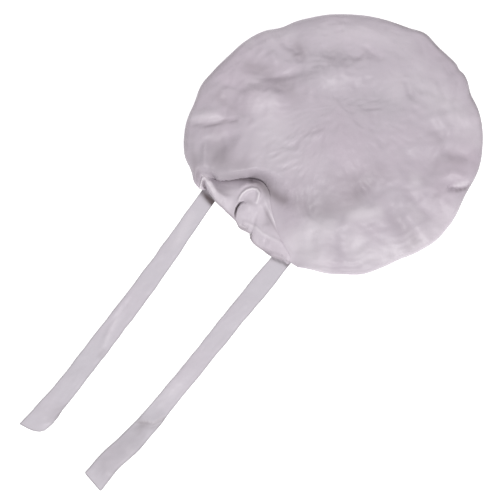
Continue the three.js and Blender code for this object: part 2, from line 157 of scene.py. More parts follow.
CROWN_FOLDS = [
    # The broad waves across the middle
    fold(3.4, 15, (-50, 62), (-26, 72), (4, 80), (32, 84), (52, 86), other=20),
    fold(-3.6, 14, (-30, 56), (5, 59), (40, 60), (74, 50), other=22),
    fold(2.4, 24, (-40, -8), (10, 0), (62, 8), other=30),
    # The upper left: two ridges with dents behind them
    fold(-2.4, 13, (-40, 105), (-22, 107), (2, 105), (26, 101), (42, 96), other=11),
    fold(-2.8, 11, (-120, 96), (-104, 92), (-86, 86), (-68, 79), (-54, 74), other=8),
    fold(-3.0, 7, (-104, 70), (-82, 74), (-55, 78), (-30, 82), (-12, 86), other=6, fade=0.9),
    fold(5.6, 8, (-116, 57), (-92, 58), (-68, 54), (-42, 48), other=24),
    fold(-2.2, 6.0, (-60, 115), (-46, 110), (-37, 101), (-38, 89), fade=0.6),
    fold(2.0, 3.0, (-75, 112), (-67, 100), (-65, 88), other=6),
    fold(1.4, 12, (-150, 36), (-143, 56), (-129, 76), (-101, 106), (-78, 119), (-55, 125),
         other=18, fade=0.3),
    fold(-2.0, 4, (-145, 62), (-118, 46), (-90, 26)),
    fold(-1.4, 4, (-137, 72), (-112, 64), (-96, 58)),
    # The left side
    fold(3.0, 7, (-164, 32), (-150, 34), (-136, 34), (-121, 33), other=4.5),
    fold(-2.8, 2.6, (-166, 25.5), (-154, 23.8), (-143, 23.2), (-132, 24.8), (-122, 27.5),
         (-106, 26.5), other=3.6),
    fold(-1.6, 5, (-121, 16), (-118, 2)),
    fold(-4.4, 18, (-142, 14), (-130, -2), (-118, -16)),
    fold(2.6, 4.5, (-145, 6), (-147, -14), (-149, -33), other=3),
    # The dent beside the casing and the pillow below it
    fold(-2.4, 5, (-140, -30), (-118, -34), (-98, -33)),
    fold(-6.0, 13, (-86, -46), (-76, -54), (-66, -62), (-54, -69), (-40, -74), other=9),
    fold(-4.5, 30, (-56, -64), (-34, -75), (-14, -80), (14, -73), (43, -57), (66, -38), other=11),
    fold(-2.0, 4, (26, -44), (43, -58), other=6),
    fold(2.0, 18, (-34, -104), (10, -98), (48, -92), (84, -78)),
    # The right side and its pinch at the rim
    fold(1.8, 6, (108, 38), (124, 24), (140, 6), other=9),
    fold(-1.6, 6, (106, 28), (118, 18), (132, 2), other=9),
    fold(3.0, 22, (116, 58), (121, 40), (123, 16), other=12),
    fold(-4.5, 15, (98, 2), (106, -20), (112, -50), other=24),
    fold(-4.2, 9, (118, -4), (138, -12), (164, -16), other=8),
    fold(2.6, 5, (128, -30), (150, -38), (162, -44)),
    fold(-5.5, 4.5, (128, -50), (146, -50), (163, -49), fade=0.3, other=3),
    fold(1.4, 5, (120, 76), (136, 88)),
    fold(-1.6, 3, (126, 80), (142, 90), other=5),
    fold(-1.6, 2.4, (146, 76), (142, 60), (133, 45), other=3.4),
    fold(1.2, 3.0, (152, 68), (149, 54), (142, 40)),
    # Short folds that run up from the lower rim
    fold(-2.6, 8, (64, -60), (70, -80), (82, -100), (102, -114), other=11),
    fold(1.4, 7, (70, -52), (84, -80), (106, -108)),
    fold(-1.7, 7, (82, -46), (100, -72), (122, -96)),
    fold(-2.6, 9, (12, -90), (12, -114), (20, -140)),
    fold(-1.8, 5, (-28, -98), (-20, -126)),
    # Creases in the middle, in the upper right and along the rims
    fold(-1.0, 3.0, (-36, 6), (-28, 10), (-18, 14), (-8, 19), other=2.2),
    fold(-1.6, 3.4, (28, 107), (38, 109.5), (46, 104), (54, 99), (62, 98), fade=0.9, other=6),
    fold(-1.4, 5, (82, 76), (92, 50)),
    fold(1.2, 12, (-37, 126), (-12, 131), (12, 132), (43, 130), (78, 122), other=14, fade=0.3),
    fold(-1.8, 2.4, (-30, -136), (0, -140), (34, -139), fade=0.3, other=4),
]

CASING_FOLDS = [
    # The loop at the left tie: its rim and its hollow
    fold(3.0, 2.4, (-151.8, -52), (-151.5, -46.6), (-150.1, -40.8), (-147.8, -37.1),
         (-145.5, -39.1), other=1.3, fade=0.25),
    fold(3.2, 7, (-147.8, -37.6), (-143.6, -44.3), (-139.4, -51.2), (-135.6, -57), other=1.3,
         fade=0.25),
    fold(-5.5, 1.6, (-148.2, -40.4), (-147.4, -46.6), (-145.2, -52.0), (-142.8, -55.4), fade=0.4),
    # The recess under the crown, the slit at its back and the face that leaves it
    fold(-1.5, 8, (-136, -48), (-120, -51), (-104, -52), fade=0.4),
    fold(-3.4, 6, (-92, -43), (-82, -46), (-76, -52), (-70, -62), fade=0.5),
    fold(3.0, 4, (-141, -46), (-132, -56), (-124, -61.5), (-112, -62.5), other=12, fade=0.3),
    # The tongue: its rim, the crack inside it and its body
    fold(3.2, 1.5, (-108.6, -67), (-106.6, -61), (-103, -56), (-98.5, -52.4),
         (-92.1, -50.4), (-86.6, -51.2), (-83.6, -55.2), (-84.6, -61), (-87.5, -69),
         other=2.6, fade=0.5),
    fold(-6.5, 1.0, (-111.6, -86), (-111.6, -79), (-110.0, -73), (-106.4, -67.6),
         (-101.8, -65.6), (-98.3, -67.6), fade=1.2),
    fold(5.0, 10, (-94, -60), (-98, -74), (-99, -86)),
    # Dents to the right of the tongue, the ridge below it and the puckers of the hem
    fold(-2.6, 6, (-80, -66), (-78, -82), (-74, -96)),
    fold(2.4, 2.4, (-106, -89), (-98, -90.3), (-88, -95), (-81, -101.8), (-72, -106.6),
         (-54, -115), other=5),
    fold(-2.0, 1.6, (-106, -92), (-101, -95), (-96, -96)),
    fold(-1.6, 1.5, (-93.8, -110), (-93.2, -105.5), (-93.8, -102)),
    fold(-1.4, 2.0, (-84, -118), (-74, -123), (-66, -124.5), (-56, -129)),
    fold(-1.2, 1.6, (-86, -114), (-76, -122), (-62, -131), fade=1.0),
    fold(-1.4, 4, (-80, -108), (-70, -112)),
]
# Painted highlights where the casing's folded edges catch the light, and painted
# shade in its pockets that no light reaches: strength, width, path
PAINTED_EDGE_LIGHTS = [
    fold(1.0, 2.8, (-151.8, -54), (-151.5, -46.6), (-150.3, -40.8), (-148.2, -36.9),
         (-145.9, -38.6), (-142.5, -43.0), other=1.3, fade=0.2),
    fold(0.45, 1.5, (-151, -35.6), (-144, -37.8), (-138, -39.6), fade=0.3),
    fold(0.25, 5, (-142, -57), (-134, -61), (-124, -70)),
    fold(0.5, 5, (-147.8, -37.6), (-143.6, -44.3), (-139.4, -51.2), (-133, -60), other=1.0,
         fade=0.2),
    fold(0.35, 1.3, (-108.5, -92), (-102.9, -94.4), (-95, -96)),
    fold(0.8, 1.0, (-151.9, -50.6), (-147.3, -53.2), (-141.8, -55.2), fade=0.2),
    fold(1.0, 1.3, (-108.4, -66), (-106.6, -61), (-103, -56), (-98.5, -52.4), (-92.1, -50.4),
         (-86.6, -51.2), (-83.6, -55.2), (-84.6, -61), (-87.5, -69), other=1.6, fade=0.4),
    fold(0.40, 1.8, (-102, -89.5), (-88, -95), (-81, -101.8), (-72, -106.6), (-60, -113),
         fade=0.6),
    fold(0.6, 1.1, (-79, -62), (-72, -78), (-64, -94), (-55.3, -110), fade=0.6),
]
PAINTED_POCKET_SHADES = [
    fold(0.55, 1.2, (-148.4, -41), (-147.4, -46.6), (-145.2, -52.0), (-143.4, -54.6), fade=0.4),
    fold(1.0, 1.0, (-111.6, -85), (-111.6, -79), (-110.0, -73), (-106.4, -67.6),
         (-103.4, -65.8), fade=0.9),
    fold(0.7, 2.0, (-136, -39.5), (-120, -40.5), (-104, -39.4), (-90, -41.6), fade=0.3),
    fold(0.64, 6, (-98, -41), (-86, -44), (-78, -49), (-71, -57), (-66, -64), fade=0.4),
    fold(0.20, 14, (-140.9, -44.6), (-136.3, -50.5), (-128.2, -56), (-117.9, -58),
         (-107.5, -57.5), other=2.0, fade=0.15),
    fold(0.35, 1.4, (-94.2, -101.6), (-93.4, -105), (-94.4, -111), fade=0.4),
    fold(0.16, 2.6, (-108, -92.4), (-101, -94.8), (-95, -97.4)),
    fold(0.16, 2.2, (-84, -118), (-74, -123), (-66, -124.5), (-52, -131)),
    fold(0.12, 4, (-76, -74), (-74, -88), (-66, -102)),
    fold(0.22, 1.2, (-81, -68), (-73, -84), (-64, -100), (-57, -110), fade=0.6),
]
# Where the crown's cloth lies in its own shade or catches the light, the same
# kind of table
CROWN_SHADES = [
    # The valley that runs away from the casing, and its second branch
    fold(0.57, 7, (-100, -40), (-88, -42), (-79, -47), (-71, -55), (-62, -62), (-48, -68),
         other=6, fade=0.35),
    fold(0.26, 12, (-64, -60), (-34, -74), (-14, -79), (14, -73), (43, -57), other=8),
    fold(0.17, 14, (14, -50), (45.4, -38), (68.4, -23.6)),
    fold(0.16, 10, (-22, -66), (0, -61), (25, -57), (52, -46)),
    fold(0.14, 12, (-20, -44), (4, -42), (36, -40)),
    # Above the casing and down the left side
    fold(0.20, 3, (-138, -39), (-118, -37.5), (-98, -37), fade=0.3),
    fold(0.20, 12, (-150, -22), (-135, -26), (-106, -25), (-84, -30), fade=0.4),
    fold(0.28, 6, (-161, -4), (-158, -20), (-156, -34), (-157, -48), other=4, fade=0.5),
    fold(0.14, 12, (-150, 14), (-135, 12), (-118, 8)),
    fold(0.20, 14, (-143.2, 9.8), (-135.1, -7.5), (-112.1, -24.7)),
    fold(0.10, 9, (-163, 20), (-165, 2), (-159, -16)),
    fold(0.10, 8, (-146.6, 59.2), (-120.2, 45.4), (-94.9, 29.3)),
    # The upper left
    fold(0.20, 9, (-72, 72), (-56, 65), (-38, 57)),
    fold(0.25, 8, (-108, 92), (-88, 87), (-62, 79)),
    fold(0.24, 8, (-50, 118), (-38, 107), (-38.5, 90)),
    fold(0.08, 11, (-14.4, 98.3), (2.9, 100.6), (22.4, 102.9), other=9),
    # The right side and its pinch
    fold(0.15, 11, (102, -28), (120, -24), (135.1, -18), (160.4, -19)),
    fold(0.16, 7, (66, -74), (84, -100), (104, -120)),
    fold(0.5, 1.7, (139.7, -53.5), (148.9, -51.8), (156.8, -50)),
    # Small patches here and there
    fold(0.13, 4.4, (-38, 7), (-27, 12), (-10, 18), other=2.4),
    fold(0.24, 1.9, (-167, 23), (-154.7, 21.3), (-143.2, 20.7), (-131.7, 22.4),
         (-123.6, 25.9), (-106, 25), fade=0.3),
    fold(0.11, 6, (-138, 58), (-127, 53), (-116, 49)),
    fold(0.10, 10, (-58, 46), (-43, 50), (-28, 52)),
    fold(0.10, 12, (-52, -57), (-20, -60), (4, -58)),
    fold(0.09, 12, (116, 24), (120, -10)),
    fold(0.12, 9, (110, -56), (126, -63)),
    fold(0.12, 9, (84, -110), (102, -118)),
    fold(0.12, 7, (154, -25), (169, -22)),
]
CROWN_LIGHTS = [
    fold(0.22, 12, (-104, 36.2), (-81, 46.6), (-54.6, 43.1)),
    fold(0.22, 24, (-68, 50), (-66, -20)),
    fold(0.12, 9, (-168, 46), (-160, 34), (-142, 30), (-122, 28)),
    fold(0.20, 4.5, (-167, 28), (-152, 31), (-138, 31), (-124, 29), fade=0.3),
    fold(0.20, 10, (-90, 126), (-62, 124), (-36, 130)),
    fold(0.15, 9, (-104, 65), (-88, 68), (-72, 68)),
    fold(0.12, 3, (-34, 3), (-16, 7)),
    fold(0.13, 10, (-22, 68), (3, 69), (24, 70)),
    fold(0.16, 14, (100, 108), (97, 50)),
    fold(0.15, 9, (166, 10), (167, -10)),
    fold(0.14, 11, (-8, -79), (26, -74), (44, -66)),
    fold(0.15, 15, (-104, -10), (-77.6, -19), (-37.4, -23.6), (2.9, -23.6)),
    fold(0.28, 10, (-108.7, 114.4), (-85.7, 123.6)),
    fold(0.22, 15, (-30, 128), (20, 127), (64, 122), (104, 104)),
    fold(0.16, 14, (70, 92), (72, 38)),
    fold(0.22, 8, (84, -64), (104, -92)),
    fold(0.30, 18, (92, 70), (123.6, 50), (145, 31.6), (162, 10), (168, -12)),
    fold(0.6, 2.6, (136, -47.5), (157, -44.5)),
    fold(0.42, 18, (-47, -84), (-38, -110), (-20, -134), (4, -152)),
    fold(0.38, 14, (-40, -96), (-14, -95), (14, -97)),
    fold(0.45, 9, (8, -84), (64, -77)),
    fold(0.42, 17, (4, -132), (66, -128), (112, -106), (138, -84), (156, -58)),
    fold(0.26, 14, (2, -112), (20, -111), (44, -108)),
    fold(0.28, 9, (82, -44), (106, -42)),
]
# Its thin shade along the rim: direction, strength
RIM_SHADE = [
    (0, 0.34), (12, 0.48), (18, 0.76), (24, 0.48), (28, 0.68), (32, 0.45), (35, 0.74),
    (39, 0.50), (43.5, 0.95), (47, 0.66), (50, 0.78), (55, 0.40), (60, 0.66), (66, 0.40),
    (76, 0.12), (100, 0.10), (122, 0.20), (138, 0.30), (150, 0.48), (157, 0.26), (190, 0.12),
    (215, 0.0), (328, 0.0), (340, 0.34), (360, 0.36),
]
RIM_SHADE_WIDTH = 3.3

# Ties from under the crown to their ends: x, y and width
TIE_LEFT = [
    (-136, -50, 19), (-145.5, -63, 19.5), (-164.6, -90, 20.4), (-197, -136.4, 22.5),
    (-230.8, -182.6, 23.6), (-266.3, -228.8, 24.6), (-301.8, -275, 25), (-321.2, -298.1, 26),
    (-346.3, -327.9, 29),
]
TIE_RIGHT = [
    (-49, -123, 20), (-61, -136.3, 21.5), (-80.1, -159.5, 23.4), (-118, -205.7, 22.6),
    (-155, -251.9, 22), (-193, -298.1, 22.4), (-211.8, -321.2, 24.6), (-233.5, -344.3, 26.4),
    (-258, -367.4, 26.6), (-276.6, -389.8, 28),
]
# Their ends: across, from -1 right to 1 left as seen along the tie, and how far
# the end reaches there past the table's last place
TIE_LEFT_END = [
    (-1, 5.2), (-0.27, 3.0), (0.17, 0.9), (0.62, -3.0), (0.86, -7.8), (0.97, -14.0), (1, -19.5),
]
TIE_RIGHT_END = [(-1, -4.0), (-0.9, -2.3), (0.9, 2.0), (1, 0.4)]
TIE_END_FROM = 0.81  # share of the tie where its edges begin to reach past
# How the straps lie, and their painted shade and painted light: the same kind of
# table, in millimetres along the strap and across it, left positive
TIE_LEFT_LIES = [
    fold(1.6, 16, (70, 4), (110, -2), fade=1.0),
    fold(1.8, 5, (150, -9), (205, -10), fade=1.0),
    fold(-0.8, 2, (150, -4), (200, -5), fade=1.0),
    fold(1.1, 4, (166, -8), (200, -2), (232, 5), other=3.4),
    fold(1.4, 14, (250, 6), (290, 0), fade=1.0),
    fold(0.8, 5, (318, -12), (340, 10)),
]
TIE_LEFT_SHADES = [
    fold(0.52, 4.5, (10, -20), (12.5, 0), (15, 20), fade=0.1),
    fold(0.74, 4.5, (11, -14), (15, 9), (18.5, 30), other=3.5, fade=1.2),
    fold(0.14, 5, (221, 6), (240, 8), other=3),
    fold(0.12, 6, (300, 9), (338, 10)),
]
TIE_LEFT_LIGHTS = [fold(0.22, 2, (172, -6), (204, 0), (232, 5)), fold(0.25, 7, (30, -4), (90, 3))]
TIE_RIGHT_TURN = ((266, -12), (257, -3.5), (253, 4), (245, 7.2), (236, 12))
TIE_RIGHT_LIES = [
    fold(1.6, 14, (60, -4), (120, 4), fade=1.0),
    fold(2.0, 12, (160, -6), (225, -8), fade=1.0),
    fold(2.2, 6, *TIE_RIGHT_TURN, other=2.0, fade=0.15),
    fold(1.6, 9, (274, 3), (300, 5), (322, 2), fade=0.6),
    fold(1.0, 5, (318, -8), (334, 10)),
]
TIE_RIGHT_SHADES = [
    fold(0.50, 1.6, (19.4, -12), (16.2, 0), (11.4, 12), fade=0.2),
    fold(0.30, 3, (11, 7), (16, 12), fade=0.3),
    fold(0.34, 0.8, *TIE_RIGHT_TURN, other=6, fade=0.15),
    fold(0.16, 20, (262, 0), (300, 0), (352, 0), fade=0.1),
    fold(0.22, 7, (252, -6), (268, -2), (280, 4), other=9, fade=0.3),
]
TIE_RIGHT_LIGHTS = [
    fold(0.4, 1.6, *TIE_RIGHT_TURN, other=0.5, fade=0.2),
    fold(0.20, 5, (286, 6), (302, 4)),
    fold(0.15, 9, (190, -2), (240, -4)),
]
# Shade of the straps' rounded edges: on their left, on their right and at the end
TIE_EDGE_SHADES = (0.42, 0.24, 0.36)
TIE_EDGE_WIDTH = 1.1
TIE_SWAY = 0.7  # how far their edges waver
TIE_SWAY_SIZE = 18.0
TIE_SWAY_SEED = 2  # on top of each tie's own
TIE_CLOTH = 1.1  # the wall of their cloth, and its lowest height
TIE_FREE_FROM = 30.0  # where the straps come out from under the crown
TIE_SWAY_FROM = 25.0
TIE_FREE_LENGTH = 20.0  # in which they come fully free
STRAP_STEP = 0.01  # share of a strap's table over which its way is taken
TIE_EDGE_FROM = 0.82  # how far across a strap its rounded edge begins
TIE_EDGE_STEEPNESS = 5
TIE_EDGE_DROP = 0.35
TIE_LINE_AT = 0.8  # and the shallow line beside it
TIE_LINE_SPREAD = 0.05
TIE_LINE_DEPTH = 0.18
TIE_CLEARANCE = 0.9  # between the ties and what lies over them
TIE_LIFT_REACH = 1.25  # in tie widths
TIE_LIFT_STEEPNESS = 3

# The casing's cloth: places along it are shares from its left end to its right, and
# places across it from its seam to its hem
CASING_LENGTH = 190.0
CASING_CLOTH_WIDTH = 50.0
CASING_BULGE = [(0, 0.2), (0.035, 3.0), (0.5, 3.0), (0.68, 0.9), (1, 0.6)]
BULGE_POWER = 0.8
SEAM_STEEPNESS = 4  # how soon its folds come in from the seam
LOOP_EDGE = 2.2  # and from the left end
END_SINK = 0.9  # how far its right end is sunk, over how long a slope
END_SLOPE = 5.0
HEM_NOTCH = [(0.552, 0.012, 2.2), (0.592, 0.022, -1.6)]  # place, spread, shift to the right
NOTCH_POWER = 14
HEM_TURN = 0.80  # share of its pattern before the hem rolls under
HEM_ROLL = 2.2  # how quickly it rolls, and how far it bulges out
HEM_ROLL_REACH = 0.55
HEM_TUCK_FROM = 0.45  # share of the roll from which it is tucked back, and how far
HEM_TUCK = 7.0
HEM_SHADE = 0.30
HEM_SHADE_WIDTH = 1.4
HEM_SHADE_FROM = 0.08

# The gathers under the crown, from its edge to its mouth
GATHER_COUNT = 38
GATHER_HEIGHT = 2.6
GATHER_WAVE = 1.7
GATHER_NOISE = [(3.1, 2.2, 41)]  # size, height and seed, and the same for their spacing
GATHER_DRIFT = [(9, 3, 43)]
GATHER_PATTERN = (100.0, 2.0)  # once round the mouth, and from the edge to the mouth
GATHER_STEEPNESS = 1.7
FLAT_SEAM_FROM = 0.88
FLAT_SEAM_STEEPNESS = 8
FLAT_SEAM_SHARE = 0.25  # of the gathers' height, left where they are sewn down
EDGE_ROUNDNESS = 0.85  # reach of the turned edge, in its height
NAPE_BLEND = 5.0  # degrees in which the edge goes from turned under to running on
TAIL_LENGTH = 5.0  # how far the cloth runs on under the casing
TAIL_SLOPE = 0.12

# Lumps and creases of the cloth: the size, height and seed of each kind
CROWN_LUMPS = [(58, 2.2, 3), (27, 1.0, 5)]
CROWN_CREASES = [(34, 1.3, 11), (16, 1.0, 13)]
DRAWN_CREASES = [(9, 0.78, 17), (4, 0.32, 19)]
RIM_PUCKERS = [(8, 0.9, 23), (3.5, 0.4, 29)]
SIDE_CREASES = [(22, 1.0, 81), (10, 0.5, 83)]
CASING_LUMPS = [(12, 0.7, 57)]
HEM_PUCKERS = [(6.5, 0.5, 51), (2.6, 0.2, 53)]
HEM_PATTERN = np.array([130.0, 9.0])
HEM_PUCKERS_ALONG = (0.38, 6)
HEM_PUCKERS_ACROSS = (0.3 / 1.4, 1.4)
BAND_RIPPLES = [(9, 0.25, 61)]
TIE_RIPPLES = [(13, 0.45, 0), (5, 0.26, 1)]
SEED_SHIFT = (7.3, 3.1, 5.7)
# Which way the drawn creases run, and how narrow they are for their length
STREAK_ANGLE = math.radians(24)
STREAK_SQUEEZE = 0.6
# How long the ends of a fold are: in its own widths, and its length's share at most
FOLD_END = 1.2
FOLD_END_SHARE = 0.4
# How creases bend, in their own sizes, and how rounded and how steep they are
WARP_SIZE = 2.5
WARP_REACH = 0.8
CREASE_ROUNDING = 0.2
CREASE_STEEPNESS = 2.2
# Where the crown's relief comes in or dies away on the way out to its rim: at which
# share of the way, and how steeply
RELIEF_AT_RIM = 0.25  # share of the relief that is left at the rim
RELIEF_TO = (1.0, -10)
RIM_WAVE_FROM = (0.6, 4)
SIDE_CREASES_FROM = (0.84, 8)
RIM_PUCKERS_FROM = (0.72, 4.5)
RIM_PUCKERS_TO = (1.01, -12)
RIM_PATTERN = (1.15, 6.0)  # per degree round and per whole way out

# Mesh steps
CROWN_COLUMNS = 336
NAPE_SHARE = 0.30  # of the columns
TOP_ROWS = 84
ROW_CROWDING = 0.6  # how much closer the rows lie towards the rim
TURN_ROWS = 10
UNDER_ROWS = 30
FIRST_RING = 1.0  # radius of the first ring of the crown's pattern
CASING_STEPS = (300, 84)
BAND_STEPS = (180, 12)
TIE_STEPS = (170, 28)
LINE_STEPS = 400  # of the curves that are measured

# The front band's cloth: the share of the mouth that it covers, its pattern's length
# and that of its ripples
BAND_SHARE = 0.97
BAND_LENGTH = 430.0
RIPPLE_LENGTH = 420.0

# Satin: its two tones for each kind of piece and how much it is crumpled
CROWN_TONES = ((0.470, 0.405, 0.462), (0.445, 0.405, 0.448))
CASING_TONES = ((0.540, 0.478, 0.535), (0.512, 0.466, 0.512))
TIE_TONES = ((0.540, 0.495, 0.545), (0.515, 0.490, 0.530))
CROWN_CRUMPLE = 1.00
CASING_CRUMPLE = 0.80
TIE_CRUMPLE = 0.75
# Tints of the painted light and the painted shade that the masks mix into the colour
PAINTED_LIGHT_TINT = (0.72, 0.67, 0.71, 1)
PAINTED_SHADE_TINT = (0.10, 0.075, 0.08, 1)
SHEEN_TINT = (0.95, 0.92, 0.97, 1)
SHEEN = 0.05
SHEEN_ROUGHNESS = 0.45
SPECULAR = 0.35
ROUGHNESS = (0.42, 0.60)
RELIEF_DEPTH = 0.0012  # in metres
# Its noises: scale, stretch along the cloth, across it and out of it, and detail
FLOATS = (2600.0, (0.12, 1.0, 1.0), 1.0)
SLUBS = (900.0, (1.0, 0.06, 1.0), 1.0)
SOFT_CREASES = (70.0, (1.0, 1.0, 1.0), 3.0)
SOFT_FOLDS = (26.0, (1.0, 1.6, 1.0), 2.0)
TONE_PATCHES = (9.0, (1.0, 1.0, 1.0), 3.0)
# How much each adds to the relief, to the tone and to the gloss
CREASE_RELIEF = 0.5
FLOAT_RELIEF = 0.05
SLUB_RELIEF = 0.03
PATCH_TONE = 0.8
SLUB_TONE = 0.2
CREASE_GLOSS = 0.3
FLOAT_GLOSS = 0.3
DEEP_AT = 0.3  # the tone at which the deep colour is full
LIGHT_AT = 0.7

# The stage, in metres: light from soft boxes, each with its azimuth from +X and its
# elevation in degrees, its distance, size and power
LIT_PLACE = Vector((0.06, 0.06, 0.01))
LIGHTS = [("key", 279, 48, 5.0, 1.6, 172), ("far side", 95, 58, 1.8, 1.0, 10)]
ROOM_LIGHT = 0.40
FLOOR_SIZE = 8.0
FLOOR_DROP = 0.0003
FLOOR_GLOW = 0.5
PAPER = (0.95, 0.95, 0.95, 1)
PAPER_ROUGHNESS = 0.9
PAPER_SPECULAR = 0.1
WHITE = (1, 1, 1, 1)
CAMERA_HEIGHT = 1.9
SCALE_HEIGHT = 0.010  # at which the picture has the photo's scale
SIGHT = 20.0  # how far the camera sees
# What the camera sees, in millimetres: the photo's 500 pixels of 1.15 mm, and the
# middle of that from the crown's middle
FRAME_SIDE = 575.0
FRAME_FROM_CENTRE = np.array([-94.535, -121.275])


def smooth(value):
    """An eased share: 0 up to 0, and 1 from 1 on."""
    value = np.clip(value, 0.0, 1.0)
    return value * value * (3.0 - 2.0 * value)


def ramp(value, start, steepness):
    """From 0 at start to 1, or the other way where steepness is negative."""
    return smooth((value - start) * steepness)


def lerp(a, b, share):
    return a + (b - a) * share


def curve_at(points, share):
    """Points at shares 0 to 1 of a smooth curve through the given ones."""
    points = np.asarray(points, float)
    padded = np.vstack([2 * points[0] - points[1], points, 2 * points[-1] - points[-2]])
    place = np.clip(np.asarray(share, float), 0, 1) * (len(points) - 1)
    start = np.minimum(place.astype(int), len(points) - 2)
    u = (place - start)[..., None]
    a, b, c, d = (padded[start + k] for k in range(4))
    bend = (2 * a - 5 * b + 4 * c - d) * u**2 + (3 * b - a - 3 * c + d) * u**3
    return 0.5 * (2 * b + (c - a) * u + bend)


def path_offset(xy, path):
    """Distance from plan points to a path, positive on its left, and share along it."""
    path = np.asarray(path, float)
    steps = np.diff(path, axis=0)
    lengths = np.hypot(steps[:, 0], steps[:, 1])
    starts = np.concatenate([[0], np.cumsum(lengths)])
    best = np.full(xy.shape[:-1], np.inf)
    side = np.ones(best.shape)
    along = np.zeros(best.shape)
    for start, step, length, before in zip(path, steps, lengths, starts):
        away = xy - start
        t = np.clip((away @ step) / length**2, 0, 1)
        off = away - t[..., None] * step
        distance = np.hypot(off[..., 0], off[..., 1])
        closer = distance < best
        best = np.where(closer, distance, best)
        turn = step[0] * off[..., 1] - step[1] * off[..., 0]
        side = np.where(closer, np.where(turn < 0, -1.0, 1.0), side)
        along = np.where(closer, (before + t * length) / starts[-1], along)
    return best * side, along


def fold_height(xy, folds):
    """The height that a table of folds adds at plan points."""
    height = np.zeros(xy.shape[:-1])
    for row in folds:
        off, along = path_offset(xy, row["path"])
        width = np.where(off < 0, row["right"], row["left"])
        length = np.sum(np.hypot(*np.diff(np.array(row["path"], float), axis=0).T))
        ending = min(FOLD_END * max(row["left"], row["right"]), FOLD_END_SHARE * length) / length
        ends = np.sin(np.pi * along) ** row["fade"] * smooth(np.minimum(along, 1 - along) / ending)
        height += row["rise"] * np.exp(-((off / width) ** 2)) * ends
    return height


def noise_at(points, size, seed):
    """Smooth noise from -1 to 1 at points, with lumps of about the given size."""
    flat = points.reshape(-1, points.shape[-1]) / size
    shift = Vector([seed * part for part in SEED_SHIFT])
    values = [noise.noise(Vector((*row, 0.0)[:3]) + shift) for row in flat]
    return np.array(values).reshape(points.shape[:-1])


def wrinkles(xy, size, seed):
    """Rounded creases, up to 1, crossing a lumpy field."""
    bends = size * WARP_SIZE
    warp = np.stack([noise_at(xy, bends, seed + 1), noise_at(xy, bends, seed + 2)], -1)
    field = noise_at(xy + warp * size * WARP_REACH, size, seed)
    return 1 - np.hypot(field, CREASE_ROUNDING) * CREASE_STEEPNESS


def raised_wrinkles(xy, size, seed):
    return np.maximum(0, wrinkles(xy, size, seed))


def relief(points, table, kind=noise_at, first_seed=0):
    """The height that lumps or creases of several sizes add at points."""
    return sum(height * kind(points, size, first_seed + seed) for size, height, seed in table)


def direction(xy):
    """Directions of plan points from the crown's middle, in degrees."""
    return np.degrees(np.arctan2(xy[..., 1], xy[..., 0])) % 360


def plan_point(reach, degrees):
    angle = np.radians(degrees)
    return np.stack([reach * np.cos(angle), reach * np.sin(angle)], -1)


def outline_radius(degrees):
    """How far the crown reaches in each direction."""
    angle = np.radians(degrees)
    radius = 1 / np.hypot(np.cos(angle) / CROWN_HALF_LENGTH, np.sin(angle) / CROWN_HALF_WIDTH)
    for at, spread, out in OUTLINE_BUMPS:
        away = (np.abs((degrees - at + 540) % 360 - 180)) / spread
        radius = radius + out * np.exp(-(away**2))
    return radius


def clear_of_nape(degrees):
    return (degrees <= NAPE_FROM) | (degrees >= NAPE_TO)


def rim_radius(degrees):
    """Where the crown ends: at its outline, or under the casing."""
    nape = curve_at(NAPE_REACH, np.linspace(0, 1, LINE_STEPS))
    under_casing = np.interp(degrees, nape[:, 0], nape[:, 1])
    return np.where(clear_of_nape(degrees), outline_radius(degrees), under_casing)


def crown_middle():
    """The crown's middle in the frame, found from the crown node's box."""
    _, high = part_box("crown")
    degrees = np.arange(0, 360, 0.5)
    right, far = plan_point(outline_radius(degrees), degrees).max(axis=0)
    return np.array([high[0] / MM - right, high[1] / MM - far])


CENTRE = crown_middle()
SHARES = np.linspace(0, 1, CASING_LINES)
SEAM_LINE = curve_at([seam for seam, _ in CASING], SHARES)
HEM_LINE = curve_at([hem for _, hem in CASING], SHARES)
STREAK_TURN = np.array([
    [STREAK_SQUEEZE * math.cos(STREAK_ANGLE), -math.sin(STREAK_ANGLE)],
    [STREAK_SQUEEZE * math.sin(STREAK_ANGLE), math.cos(STREAK_ANGLE)],
])


def near_casing(xy):
    """For each plan point the casing's nearest place: distance, its height, the
    way to it and its share from left to right."""
    flat = xy.reshape(-1, 2)
    distance = np.full(len(flat), 1e3)
    height = np.zeros(len(flat))
    way = np.zeros((len(flat), 2))
    share = np.zeros(len(flat))
    close = np.nonzero((flat[:, 0] < CASING_ZONE) & (flat[:, 1] < CASING_ZONE))[0]
    points = flat[close]
    for k, (seam, hem) in enumerate(zip(SEAM_LINE, HEM_LINE)):
        step = hem[:2] - seam[:2]
        t = np.clip(((points - seam[:2]) @ step) / (step @ step), 0, 1)
        off = seam[:2] + t[:, None] * step - points
        length = np.hypot(off[:, 0], off[:, 1])
        closer = length < distance[close]
        rows = close[closer]
        distance[rows] = length[closer]
        height[rows] = lerp(seam[2], hem[2], t[closer])
        way[rows] = off[closer] / np.maximum(length[closer], 1e-6)[:, None]
        share[rows] = SHARES[k]
    shape = xy.shape[:-1]
    return (distance.reshape(shape), height.reshape(shape),
            way.reshape(*shape, 2), share.reshape(shape))


def side_creases(on_rim):
    """How deep the creases over the crown's side are at places on its outline."""
    return relief(on_rim, SIDE_CREASES, raised_wrinkles)


